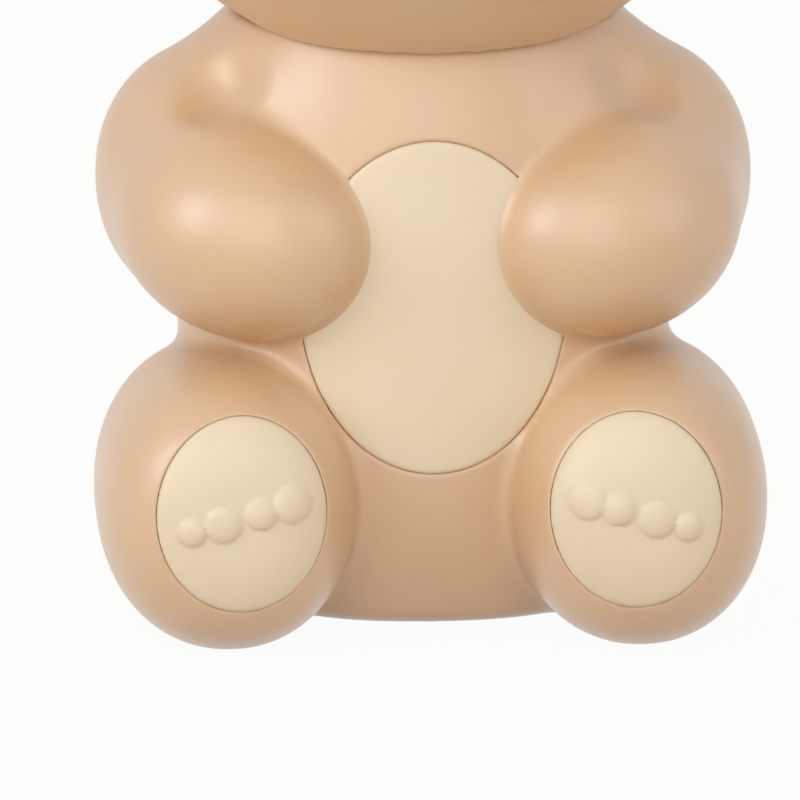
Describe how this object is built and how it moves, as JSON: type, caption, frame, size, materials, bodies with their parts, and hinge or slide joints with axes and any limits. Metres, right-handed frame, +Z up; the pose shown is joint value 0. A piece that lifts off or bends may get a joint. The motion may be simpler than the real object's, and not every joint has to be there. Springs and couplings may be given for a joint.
{
  "type": "foaming soap dispenser",
  "caption": "Seated teddy-bear countertop soap dispenser: lift-off head with foam pump, hand sensor and nozzle over a two-part body shell round a soap tank, cream belly and soles.",
  "frame": {"origin": "centre of the non-slip mat's underside, on the surface the dispenser stands on", "axes": "+Z up through the head, the bear faces -Y (belly, soles and nozzle), +X is the bear's left side"},
  "size_m": [0.1048, 0.1039, 0.174],
  "materials": {
    "caramel_shell": "satin",
    "cream_trim": "satin",
    "silicone_flap": "matt",
    "frosted_plastic": "frosted",
    "base_plastic": "matt",
    "rubber_mat": "matt",
    "grey_silicone": "matt",
    "brown_gloss": "gloss",
    "white_plastic": "satin",
    "steel": "brushed",
    "smoked_plastic": "gloss",
    "circuit_board": "matt",
    "cell_wrap": "gloss"
  },
  "bodies": {
    "body": {"body_front_shell": "caramel_shell", "body_rear_shell": "caramel_shell", "belly_panel": "cream_trim", "left_sole_pad": "cream_trim", "right_sole_pad": "cream_trim", "soap_tank": "frosted_plastic", "base_plate": "base_plastic", "base_mat": "rubber_mat", "base_screw_1": "steel", "base_screw_2": "steel", "base_screw_3": "steel", "base_screw_4": "steel"},
    "head": {"head_front_shell": "caramel_shell", "head_rear_shell": "caramel_shell", "left_ear": "caramel_shell", "right_ear": "caramel_shell", "muzzle_cover": "cream_trim", "left_ear_inner": "cream_trim", "right_ear_inner": "cream_trim", "dip_tube": "frosted_plastic", "foam_tube": "frosted_plastic", "status_light": "frosted_plastic", "neck_seal": "grey_silicone", "pump_diaphragm": "grey_silicone", "left_eye": "brown_gloss", "right_eye": "brown_gloss", "nose": "brown_gloss", "foam_nozzle": "white_plastic", "mesh_holder": "white_plastic", "head_base": "white_plastic", "pump_cover": "white_plastic", "pump_valve_plate": "white_plastic", "pump_housing": "white_plastic", "dip_tube_strainer": "white_plastic", "battery_cradle": "white_plastic", "foam_screen_lower": "steel", "foam_screen_upper": "steel", "motor_case": "steel", "usb_socket": "steel", "head_screw_1": "steel", "head_screw_2": "steel", "head_screw_3": "steel", "head_screw_4": "steel", "pump_screw_1": "steel", "pump_screw_2": "steel", "pump_screw_3": "steel", "pump_screw_4": "steel", "sensor_window": "smoked_plastic", "tact_switch": "smoked_plastic", "main_board": "circuit_board", "sensor_board": "circuit_board", "battery_cell": "cell_wrap"},
    "rotor": {"motor_shaft": "steel", "eccentric_cam": "white_plastic"},
    "swing": {"swing_plate": "white_plastic"},
    "button": {"power_button": "cream_trim"},
    "flap": {"port_flap": "silicone_flap"}
  },
  "joints": [
    {"name": "head_lift", "type": "slide", "parent": "body", "child": "head", "axis": [0, 0, 1], "range_m": [0, 0.1]},
    {"name": "motor_spin", "type": "hinge", "parent": "head", "child": "rotor", "pos_m": [0, -0.003, 0.12], "axis": [0, 0, 1], "continuous": true},
    {"name": "swing_nutation", "type": "hinge", "parent": "head", "child": "swing", "pos_m": [0, -0.003, 0.115], "axis": [0, 0, 1], "continuous": true},
    {"name": "button_press", "type": "slide", "parent": "head", "child": "button", "axis": [0, -1, 0], "range_m": [0, 0.0008], "stiffness_N_per_m": 600},
    {"name": "flap_swing", "type": "hinge", "parent": "head", "child": "flap", "pos_m": [0, 0.04046, 0.1176], "axis": [1, 0, 0], "range_deg": [0, 110]}
  ],
  "couplings": [
    {"joint": "swing_nutation", "follows": "motor_spin", "ratio": 1}
  ]
}
